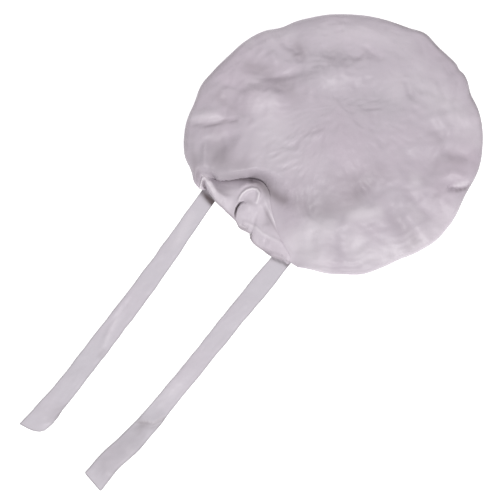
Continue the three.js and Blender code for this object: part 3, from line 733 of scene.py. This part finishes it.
def puffed_height(xy):
    """The height of the crown's upper side where no casing holds it down."""
    degrees = direction(xy)
    edge = outline_radius(degrees)
    share = np.clip(np.hypot(xy[..., 0], xy[..., 1]) / edge, 0, 1)
    on_rim = plan_point(edge, degrees)
    crease = side_creases(on_rim) * ramp(share, *SIDE_CREASES_FROM)
    wave = RIM_WAVE * noise_at(on_rim, RIM_WAVE_SIZE, RIM_WAVE_SEED) * ramp(share, *RIM_WAVE_FROM)
    rise = EDGE_RISE + wave - CREASE_DROP * crease
    reach = EDGE_REACH + CREASE_REACH * crease
    edge_rise = rise * np.sqrt(1 - np.clip(1 - (1 - share) * edge / reach, 0, 1) ** 2)
    dome = (CROWN_HEIGHT - RIM_HEIGHT - EDGE_RISE) * (1 - share**DOME_POWER)
    soft = (FOLD_STRENGTH * fold_height(xy, CROWN_FOLDS) + relief(xy, CROWN_LUMPS)
            + relief(xy, CROWN_CREASES, wrinkles)
            + relief(xy @ STREAK_TURN, DRAWN_CREASES, wrinkles))
    inside = lerp(RELIEF_AT_RIM, 1, ramp(share, *RELIEF_TO))
    near_rim = ramp(share, *RIM_PUCKERS_FROM) * ramp(share, *RIM_PUCKERS_TO)
    per_degree, per_way = RIM_PATTERN
    spokes = np.stack([degrees * per_degree, share * per_way], -1)
    puckers = near_rim * relief(spokes, RIM_PUCKERS, wrinkles)
    return RIM_HEIGHT + edge_rise + dome + soft * inside + puckers


def crown_top(xy):
    """Places on the crown's upper side over plan points."""
    distance, casing_height, way, along = near_casing(xy)
    at, widths, hangs, drops, _, _ = np.array(GROOVE).T
    width = np.interp(along, at, widths)
    hang = np.interp(along, at, hangs)
    away = np.clip((distance - GROOVE_START) / width, 0, 1)
    rounded = (1 - (1 - away) ** LIP_STEEPNESS) ** (1 / LIP_ROUNDNESS)
    free = lerp(smooth(away), rounded, smooth(hang / FULL_HANG))
    under = casing_height - np.interp(along, at, drops)
    over = distance < OVER_CASING
    if np.any(over):
        under = under + np.where(over, np.minimum(0, fold_height(xy, CASING_FOLDS)), 0)
    height = np.maximum(lerp(under, puffed_height(xy), free), LOWEST_CROWN)
    leaning = 1 - smooth((distance - width) / (LEAN_REACH * width))
    lean = hang * smooth(LEAN_STEEPNESS * free) * leaning
    return np.concatenate([xy + way * lean[..., None], height[..., None]], -1)


def mouth_point(turn, inward):
    """Plan points on the mouth or inward of it; the turn is 0 farthest from the nape."""
    along = MOUTH_DEPTH + (MOUTH_HALF_LENGTH - inward) * np.cos(turn)
    across = (MOUTH_HALF_WIDTH - inward) * np.sin(turn)
    return NAPE_MIDDLE + along[..., None] * MOUTH_AXIS + across[..., None] * MOUTH_SIDE


def tie_lift(xy):
    """How much the ties lift what lies over them."""
    lift = np.zeros(xy.shape[:-1])
    for tie in (TIE_LEFT, TIE_RIGHT):
        for x, y, _ in tie[:3]:
            away = np.hypot(xy[..., 0] - x, xy[..., 1] - y) / TIE_WIDTH
            lift = np.maximum(lift, TIE_LIFT_REACH - away)
    return (TIE_TOP + TIE_CLEARANCE) * smooth(TIE_LIFT_STEEPNESS * lift)


def mouth_ends(degrees, round_share):
    """Where on the mouth each line of the crown's cloth ends."""
    turn = lerp(-MOUTH_END_TURN, MOUTH_END_TURN, np.clip(round_share, 0, 1))
    nearer_left = degrees < (NAPE_FROM + NAPE_TO) / 2
    at_nape = np.where(nearer_left, MOUTH_END_TURN, -MOUTH_END_TURN)
    return mouth_point(np.where(clear_of_nape(degrees), turn, at_nape), 0.0)


def gathers(round_share, t):
    """How high the gathers stand, at a share of the way from the edge to the mouth."""
    length, drift = GATHER_PATTERN
    pleat = np.stack([round_share * length, np.zeros_like(round_share)], -1)
    phase = relief(pleat, GATHER_DRIFT)
    wave = GATHER_WAVE * np.sin(round_share * GATHER_COUNT * 2 * math.pi + phase)
    uneven = relief(pleat + np.array([0, t * drift]), GATHER_NOISE)
    standing = 1 - ramp(t, FLAT_SEAM_FROM, FLAT_SEAM_STEEPNESS)
    share = smooth(GATHER_STEEPNESS * t) * lerp(FLAT_SEAM_SHARE, 1, standing)
    return np.maximum(0, GATHER_HEIGHT + uneven + wave) * share


def crown_lines(degrees):
    """The crown's outer face: rows from its middle over the rim to the mouth."""
    end = plan_point(rim_radius(degrees), degrees)
    ray = end - LINES_FROM
    ray /= np.hypot(ray[:, 0], ray[:, 1])[:, None]
    t = (np.arange(TOP_ROWS) + 1) / TOP_ROWS
    out = lerp(t, np.sin(t * math.pi / 2), ROW_CROWDING)
    top = crown_top(LINES_FROM + out[:, None, None] * (end - LINES_FROM))

    rim = top[-1]
    edge = rim[:, :2]
    edge_height = rim[:, 2]
    floor = tie_lift(edge)
    round_share = ((degrees - NAPE_TO) % 360) / (360 - (NAPE_TO - NAPE_FROM))
    inward = mouth_ends(degrees, round_share) - edge
    under_length = np.hypot(inward[:, 0], inward[:, 1])
    inward /= under_length[:, None]
    radius = EDGE_ROUNDNESS * (edge_height - floor)
    pucker = PUCKER_DEPTH * side_creases(edge)
    from_nape_end = np.minimum(degrees - NAPE_FROM, NAPE_TO - degrees)
    straight = np.where(clear_of_nape(degrees), 0, smooth(from_nape_end / NAPE_BLEND))

    def row(step, distance, height):
        """Tucked under towards the mouth, or running on under the casing."""
        tucked = np.column_stack([edge + inward * distance[:, None], height])
        on = TAIL_LENGTH * step / (TURN_ROWS + UNDER_ROWS)
        ahead = np.column_stack([edge + ray * on, edge_height - TAIL_SLOPE * on])
        return lerp(tucked, ahead, straight[:, None])

    rows = [*top]
    for step in range(1, TURN_ROWS + 1):
        angle = step / TURN_ROWS * math.pi / 2
        distance = radius * (1 - math.cos(angle)) + pucker * math.sin(angle)
        rows.append(row(step, distance, lerp(edge_height, floor, math.sin(angle))))
    for step in range(1, UNDER_ROWS + 1):
        t = step / UNDER_ROWS
        distance = lerp(radius + pucker, under_length, t)
        lie = tie_lift(edge + inward * distance[:, None])
        rows.append(row(TURN_ROWS + step, distance, lie + gathers(round_share, t)))
    return np.stack(rows)


def finish_mesh(name, bm, points, cloth, wall, outward=False, **masks):
    """The pattern's verts moved to their places, as an object with a wall."""
    mesh = bpy.data.meshes.new(name)
    bm.to_mesh(mesh)
    bm.free()
    placed = (points + np.array([CENTRE[0], CENTRE[1], 0.0])) * MM
    mesh.vertices.foreach_set("co", placed.ravel())
    uv_layer = mesh.uv_layers.new(name="cloth")
    corners = np.empty(len(mesh.loops), dtype=np.int32)
    mesh.loops.foreach_get("vertex_index", corners)
    uv_layer.data.foreach_set("uv", (cloth[corners] * MM).ravel())
    # Masks of painted light and painted shade, stored on the points
    for mask, values in masks.items():
        layer = mesh.attributes.new(mask, "FLOAT", "POINT")
        layer.data.foreach_set("value", np.clip(values, 0, 1).astype(np.float32))
    shaped = bmesh.new()
    shaped.from_mesh(mesh)
    if outward:
        bmesh.ops.recalc_face_normals(shaped, faces=shaped.faces)
    elif sum(face.normal.z for face in shaped.faces) < 0:
        bmesh.ops.reverse_faces(shaped, faces=shaped.faces)
    for face in shaped.faces:
        face.smooth = True
    shaped.to_mesh(mesh)
    shaped.free()
    piece = bpy.data.objects.new(name, mesh)
    bpy.context.collection.objects.link(piece)
    solid = piece.modifiers.new("wall", "SOLIDIFY")
    solid.thickness = wall * MM
    solid.offset = -1
    solid.use_even_offset = False
    return piece


def pattern_points(bm):
    bm.verts.ensure_lookup_table()
    return np.array([vert.co[:] for vert in bm.verts])


def crown_shade(xy):
    """How much of the shade's tint the crown has over plan points."""
    degrees = direction(xy)
    inside = outline_radius(degrees) - np.hypot(xy[..., 0], xy[..., 1])
    at_rim = np.interp(degrees, *np.array(RIM_SHADE).T)
    return fold_height(xy, CROWN_SHADES) + at_rim * np.exp(-((inside / RIM_SHADE_WIDTH) ** 2))


def crown_pattern():
    """A flat disc of rings, spun, with its hole closed by a fan."""
    bm = bmesh.new()
    rows = TOP_ROWS + TURN_ROWS + UNDER_ROWS
    chain = [bm.verts.new((row + FIRST_RING, 0, 0)) for row in range(rows)]
    for inner, outer in zip(chain, chain[1:]):
        bm.edges.new((inner, outer))
    bmesh.ops.spin(bm, geom=bm.verts[:] + bm.edges[:], cent=(0, 0, 0), axis=(0, 0, 1),
                   angle=2 * math.pi, steps=CROWN_COLUMNS, use_merge=True)
    inner_ring = [edge for edge in bm.edges
                  if edge.is_boundary and edge.verts[0].co.length < 1.5 * FIRST_RING]
    cap = bmesh.ops.holes_fill(bm, edges=inner_ring, sides=0)
    bmesh.ops.poke(bm, faces=cap["faces"])
    return bm


def make_crown():
    bm = crown_pattern()
    pattern = pattern_points(bm)
    row = np.rint(np.hypot(pattern[:, 0], pattern[:, 1]) - FIRST_RING).astype(int)
    turned = direction(pattern) / 360
    column = np.rint(turned * CROWN_COLUMNS).astype(int) % CROWN_COLUMNS
    middle = row < 0

    share = np.arange(CROWN_COLUMNS) / CROWN_COLUMNS
    degrees = np.interp(share, [0, NAPE_SHARE, 1], [NAPE_FROM, NAPE_TO, NAPE_FROM + 360]) % 360
    lines = crown_lines(degrees)
    points = lines[np.maximum(row, 0), column]
    points[middle] = crown_top(LINES_FROM[None, :])[0]

    steps = np.linalg.norm(np.diff(lines, axis=0), axis=-1)
    first = np.linalg.norm(lines[:1] - points[middle][0], axis=-1)
    run = np.cumsum(np.concatenate([first, steps]), axis=0)
    cloth = plan_point(run, degrees)[np.maximum(row, 0), column]
    cloth[middle] = 0
    seen = row < TOP_ROWS + TURN_ROWS
    # Painted shade along the rim and in valleys, and painted light patches, where seen from above
    dark = crown_shade(points[:, :2]) * seen
    pale = fold_height(points[:, :2], CROWN_LIGHTS) * seen
    return finish_mesh("crown_cloth", bm, points, cloth, CROWN_WALL, outward=True,
                       pale=pale, dark=dark)


def strip(along_steps, across_steps):
    """A flat pattern strip; its verts' x and y are shares along and across it."""
    bm = bmesh.new()
    bmesh.ops.create_grid(bm, x_segments=along_steps, y_segments=across_steps, size=0.5)
    bmesh.ops.translate(bm, verts=bm.verts, vec=(0.5, 0.5, 0))
    return bm, pattern_points(bm)


def casing_face(along, across, seam, hem):
    """Places on the casing's upper face, from its seam to its hem."""
    points = lerp(seam, hem, across[:, None])
    notch = sum(shift * np.exp(-(((along - at) / spread) ** 2)) for at, spread, shift in HEM_NOTCH)
    points[:, 0] += notch * across**NOTCH_POWER
    plan = points[:, :2]
    height = points[:, 2]
    inner = smooth(SEAM_STEEPNESS * across) * smooth(along * CASING_LENGTH / LOOP_EDGE)
    bulge = np.interp(along, *np.array(CASING_BULGE).T) * np.sin(np.pi * across**BULGE_POWER)
    height += bulge + fold_height(plan, CASING_FOLDS) * inner
    gathered = ramp(across, *HEM_PUCKERS_ACROSS) * ramp(along, *HEM_PUCKERS_ALONG)
    height += relief(np.stack([along, across], -1) * HEM_PATTERN, HEM_PUCKERS) * gathered
    height += relief(plan, CASING_LUMPS) * inner
    at, _, _, _, sinks, slopes = np.array(GROOVE).T
    from_seam = across * np.linalg.norm(hem - seam, axis=-1)
    height -= np.interp(along, at, sinks) * (1 - smooth(from_seam / np.interp(along, at, slopes)))
    height -= END_SINK * (1 - smooth((1 - along) * CASING_LENGTH / END_SLOPE))
    return points


def roll_hem(points, rolled, low, back):
    """Rolls the hem's cloth under and tucks it back, down to the low height."""
    radius = (points[:, 2] - low) / 2
    bend = np.minimum(rolled * HEM_ROLL, 1) * math.pi
    tuck = np.clip((rolled - HEM_TUCK_FROM) / (1 - HEM_TUCK_FROM), 0, 1) * HEM_TUCK
    inward = tuck - np.sin(bend) * radius * HEM_ROLL_REACH
    turned = rolled > 0
    points[turned, :2] += (back * inward[:, None])[turned]
    points[turned, 2] = (low + radius * (1 + np.cos(bend)))[turned]


def make_casing():
    bm, pattern = strip(*CASING_STEPS)
    along = pattern[:, 0]
    across = np.clip(pattern[:, 1] / HEM_TURN, 0, 1)
    rolled = np.clip((pattern[:, 1] - HEM_TURN) / (1 - HEM_TURN), 0, 1)
    seam = curve_at([seam for seam, _ in CASING], along)
    hem = curve_at([hem for _, hem in CASING], along)
    width = np.linalg.norm(hem - seam, axis=-1)
    points = casing_face(along, across, seam, hem)
    plan = points[:, :2]
    low = tie_lift(plan) + CASING_WALL
    points[:, 2] = np.maximum(points[:, 2], low + CASING_WALL)
    to_hem = (1 - across) * width
    # Painted shade along the hem and in the pockets, and painted highlights on folded edges
    painted_hem_shade = HEM_SHADE * np.exp(-((to_hem / HEM_SHADE_WIDTH) ** 2)) * (along > HEM_SHADE_FROM)
    dark = fold_height(plan, PAINTED_POCKET_SHADES) + painted_hem_shade
    pale = fold_height(plan, PAINTED_EDGE_LIGHTS) * (1 - rolled)
    roll_hem(points, rolled, low, (seam - hem)[:, :2] / width[:, None])
    cloth = np.stack([along * CASING_LENGTH, pattern[:, 1] * CASING_CLOTH_WIDTH], -1)
    return finish_mesh("casing_cloth", bm, points, cloth, CASING_WALL, pale=pale, dark=dark)


def make_front_band():
    bm, pattern = strip(*BAND_STEPS)
    along = pattern[:, 0]
    reach = BAND_SHARE * MOUTH_END_TURN
    inward = FRONT_BAND_GAP + pattern[:, 1] * FRONT_BAND_WIDTH
    plan = mouth_point(lerp(-reach, reach, along), inward)
    ripple = np.abs(relief(np.stack([along * RIPPLE_LENGTH, inward], -1), BAND_RIPPLES))
    cloth = np.stack([along * BAND_LENGTH, inward], -1)
    points = np.column_stack([plan, BAND_WALL + ripple])
    return finish_mesh("front_band_cloth", bm, points, cloth, BAND_WALL)


def strap_place(table, along):
    """A strap's middle, width and way in plan at a share along its table."""
    rows = np.array(table, float)
    middle = curve_at(rows, along)
    ahead = (curve_at(rows, np.minimum(along + STRAP_STEP, 1))
             - curve_at(rows, np.minimum(along, 1 - STRAP_STEP)))
    way = ahead[:, :2] / np.hypot(ahead[:, 0], ahead[:, 1])[:, None]
    return middle[:, :2], middle[:, 2], way


def strap_steps(table):
    """Distances along a strap's middle line at even steps of its table."""
    line = curve_at(np.array(table, float), np.linspace(0, 1, LINE_STEPS))[:, :2]
    return np.concatenate([[0], np.cumsum(np.hypot(*np.diff(line, axis=0).T))])


def strap_plan(table, end, strap, across, sway_seed):
    """Places in plan of a strap's cloth, with its wavering edges and slanted end."""
    reached = strap_steps(table)
    place = np.interp(strap[:, 0], reached, np.linspace(0, 1, len(reached)))
    middle, width, way = strap_place(table, place)
    left = np.stack([-way[:, 1], way[:, 0]], -1)
    swaying = smooth((strap[:, 0] - TIE_SWAY_FROM) / TIE_FREE_LENGTH)
    sway = TIE_SWAY * noise_at(strap, TIE_SWAY_SIZE, sway_seed) * swaying
    past = np.interp(across, *np.array(end).T)
    reaching = np.clip((place - TIE_END_FROM) / (1 - TIE_END_FROM), 0, 1)
    sideways = across * width / 2 + sway
    return middle + left * sideways[:, None] + way * (past * reaching)[:, None]


def make_tie(name, table, end, lies, shades, lights, seed):
    bm, pattern = strip(*TIE_STEPS)
    length = strap_steps(table)[-1]
    across = 2 * pattern[:, 1] - 1
    strap = np.stack([pattern[:, 0] * length, across * TIE_WIDTH / 2], -1)
    plan = strap_plan(table, end, strap, across, seed + TIE_SWAY_SEED)
    free = smooth((strap[:, 0] - TIE_FREE_FROM) / TIE_FREE_LENGTH)
    lie = np.maximum(0, fold_height(strap, lies)) * free
    ripple = np.abs(relief(strap, TIE_RIPPLES, first_seed=seed)) * free
    edge = TIE_EDGE_DROP * ramp(np.abs(across), TIE_EDGE_FROM, TIE_EDGE_STEEPNESS)
    line_off = (np.abs(across) - TIE_LINE_AT) / TIE_LINE_SPREAD
    height = TIE_TOP + lie + ripple - edge - TIE_LINE_DEPTH * np.exp(-(line_off**2))
    points = np.column_stack([plan, np.maximum(height, TIE_CLOTH)])

    # Painted shade along the straps' edges and end and under the hem, and painted light from the
    # tables
    on_left, on_right, at_end = TIE_EDGE_SHADES
    to_side = (1 - np.abs(across)) * TIE_WIDTH / 2
    to_end = length - strap[:, 0]
    dark = np.where(across > 0, on_left, on_right) * np.exp(-((to_side / TIE_EDGE_WIDTH) ** 2))
    dark = np.maximum(dark, at_end * np.exp(-((to_end / TIE_EDGE_WIDTH) ** 2)))
    dark = dark + fold_height(strap, shades)
    pale = fold_height(strap, lights)
    return finish_mesh(name, bm, points, strap, TIE_CLOTH, pale=pale, dark=dark)


def woven_group():
    """Satin as a node group: fine floats, soft crumples and a slow change of tone."""
    group = bpy.data.node_groups.new("satin weave", "ShaderNodeTree")
    face = group.interface
    face.new_socket("Cloth", in_out="INPUT", socket_type="NodeSocketVector")
    face.new_socket("Crumple", in_out="INPUT", socket_type="NodeSocketFloat")
    face.new_socket("Tone", in_out="OUTPUT", socket_type="NodeSocketFloat")
    face.new_socket("Height", in_out="OUTPUT", socket_type="NodeSocketFloat")
    face.new_socket("Gloss", in_out="OUTPUT", socket_type="NodeSocketFloat")
    nodes, links = group.nodes, group.links
    come = nodes.new("NodeGroupInput")
    go = nodes.new("NodeGroupOutput")

    def noise_of(scale, stretch, detail):
        mapping = nodes.new("ShaderNodeMapping")
        mapping.inputs["Scale"].default_value = stretch
        texture = nodes.new("ShaderNodeTexNoise")
        texture.inputs["Scale"].default_value = scale
        texture.inputs["Detail"].default_value = detail
        links.new(come.outputs["Cloth"], mapping.inputs["Vector"])
        links.new(mapping.outputs["Vector"], texture.inputs["Vector"])
        return texture.outputs["Fac"]

    def scaled(value, factor, add=None):
        math_node = nodes.new("ShaderNodeMath")
        math_node.operation = "MULTIPLY_ADD"
        links.new(value, math_node.inputs[0])
        if isinstance(factor, float):
            math_node.inputs[1].default_value = factor
        else:
            links.new(factor, math_node.inputs[1])
        if add is None:
            math_node.inputs[2].default_value = 0.0
        else:
            links.new(add, math_node.inputs[2])
        return math_node.outputs[0]

    floats = noise_of(*FLOATS)
    slubs = noise_of(*SLUBS)
    creases = noise_of(*SOFT_CREASES)
    folds = noise_of(*SOFT_FOLDS)
    patches = noise_of(*TONE_PATCHES)
    crumple = scaled(creases, CREASE_RELIEF, folds)
    threads = scaled(floats, FLOAT_RELIEF, scaled(slubs, SLUB_RELIEF))
    tone = scaled(patches, PATCH_TONE, scaled(slubs, SLUB_TONE))
    gloss = scaled(creases, CREASE_GLOSS, scaled(floats, FLOAT_GLOSS))
    links.new(scaled(crumple, come.outputs["Crumple"], threads), go.inputs["Height"])
    links.new(tone, go.inputs["Tone"])
    links.new(gloss, go.inputs["Gloss"])
    return group


def set_inputs(shader, values):
    for name, value in values.items():
        shader.inputs[name].default_value = value


def satin(name, tones, weave, crumple):
    """The bonnet's cloth: colour between two tones, soft gloss and fine relief."""
    material = bpy.data.materials.new(name)
    material.use_nodes = True
    nodes, links = material.node_tree.nodes, material.node_tree.links
    shader = nodes["Principled BSDF"]
    uv = nodes.new("ShaderNodeUVMap")
    uv.uv_map = "cloth"
    cloth = nodes.new("ShaderNodeGroup")
    cloth.node_tree = weave
    cloth.inputs["Crumple"].default_value = crumple
    links.new(uv.outputs["UV"], cloth.inputs["Cloth"])
    light, deep = tones
    colours = nodes.new("ShaderNodeValToRGB")
    for stop, at, tone in zip(colours.color_ramp.elements, (DEEP_AT, LIGHT_AT), (deep, light)):
        stop.position = at
        stop.color = (*tone, 1)
    links.new(cloth.outputs["Tone"], colours.inputs["Fac"])
    colour = colours.outputs["Color"]
    # Painted light and painted shade, mixed into the colour from each piece's masks
    for mask, tint in (("pale", PAINTED_LIGHT_TINT), ("dark", PAINTED_SHADE_TINT)):
        layer = nodes.new("ShaderNodeAttribute")
        layer.attribute_name = mask
        mixed = nodes.new("ShaderNodeMix")
        mixed.data_type = "RGBA"
        mixed.inputs["B"].default_value = tint
        links.new(layer.outputs["Fac"], mixed.inputs["Factor"])
        links.new(colour, mixed.inputs["A"])
        colour = mixed.outputs["Result"]
    links.new(colour, shader.inputs["Base Color"])
    gloss = nodes.new("ShaderNodeMapRange")
    set_inputs(gloss, {"To Min": ROUGHNESS[0], "To Max": ROUGHNESS[1]})
    links.new(cloth.outputs["Gloss"], gloss.inputs["Value"])
    links.new(gloss.outputs["Result"], shader.inputs["Roughness"])
    bump = nodes.new("ShaderNodeBump")
    set_inputs(bump, {"Strength": 1.0, "Distance": RELIEF_DEPTH})
    links.new(cloth.outputs["Height"], bump.inputs["Height"])
    links.new(bump.outputs["Normal"], shader.inputs["Normal"])
    set_inputs(shader, {"Specular IOR Level": SPECULAR, "Sheen Weight": SHEEN,
                        "Sheen Roughness": SHEEN_ROUGHNESS, "Sheen Tint": SHEEN_TINT})
    return material


def dress(piece, material, node):
    piece.data.materials.append(material)
    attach(piece, "root")
    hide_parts(node)


weave = woven_group()
crown_satin = satin("crown satin", CROWN_TONES, weave, CROWN_CRUMPLE)
casing_satin = satin("casing satin", CASING_TONES, weave, CASING_CRUMPLE)
tie_satin = satin("tie satin", TIE_TONES, weave, TIE_CRUMPLE)

crown = make_crown()
casing = make_casing()
front_band = make_front_band()
tie_left = make_tie("tie_left_cloth", TIE_LEFT, TIE_LEFT_END,
                    TIE_LEFT_LIES, TIE_LEFT_SHADES, TIE_LEFT_LIGHTS, seed=71)
tie_right = make_tie("tie_right_cloth", TIE_RIGHT, TIE_RIGHT_END,
                     TIE_RIGHT_LIES, TIE_RIGHT_SHADES, TIE_RIGHT_LIGHTS, seed=77)

dress(crown, crown_satin, "crown")
dress(casing, casing_satin, "nape_casing")
dress(front_band, crown_satin, "front_band")
dress(tie_left, tie_satin, "tie_left")
dress(tie_right, tie_satin, "tie_right")


def make_floor():
    bpy.ops.mesh.primitive_plane_add(size=FLOOR_SIZE, location=(0, 0, -FLOOR_DROP))
    floor = bpy.context.object
    floor.name = "floor"
    paper = bpy.data.materials.new("pale paper")
    paper.use_nodes = True
    set_inputs(paper.node_tree.nodes["Principled BSDF"], {
        "Base Color": PAPER, "Emission Color": WHITE, "Emission Strength": FLOOR_GLOW,
        "Roughness": PAPER_ROUGHNESS, "Specular IOR Level": PAPER_SPECULAR,
    })
    floor.data.materials.append(paper)


def aim(thing, target):
    way = target - thing.location
    thing.rotation_euler = way.to_track_quat("-Z", "Y").to_euler()


def add_light(name, azimuth, elevation, distance, size, power):
    """A square soft box that faces the crown."""
    data = bpy.data.lights.new(name, "AREA")
    data.size = size
    data.energy = power
    lamp = bpy.data.objects.new(name, data)
    bpy.context.collection.objects.link(lamp)
    turn, rise = math.radians(azimuth), math.radians(elevation)
    way = Vector((math.cos(turn) * math.cos(rise), math.sin(turn) * math.cos(rise), math.sin(rise)))
    lamp.location = LIT_PLACE + way * distance
    aim(lamp, LIT_PLACE)


def set_light():
    world = bpy.data.worlds.new("studio")
    bpy.context.scene.world = world
    world.use_nodes = True
    set_inputs(world.node_tree.nodes["Background"], {"Color": WHITE, "Strength": ROOM_LIGHT})
    for light in LIGHTS:
        add_light(*light)


def set_camera():
    """Straight down, as the photo looks."""
    data = bpy.data.cameras.new("camera")
    camera = bpy.data.objects.new("camera", data)
    bpy.context.collection.objects.link(camera)
    middle = (CENTRE + FRAME_FROM_CENTRE) * MM
    camera.location = (middle[0], middle[1], CAMERA_HEIGHT)
    data.angle = 2 * math.atan(FRAME_SIDE / 2 * MM / (CAMERA_HEIGHT - SCALE_HEIGHT))
    data.clip_end = SIGHT
    bpy.context.scene.camera = camera


make_floor()
set_light()
set_camera()
bpy.context.scene.view_settings.view_transform = "Standard"
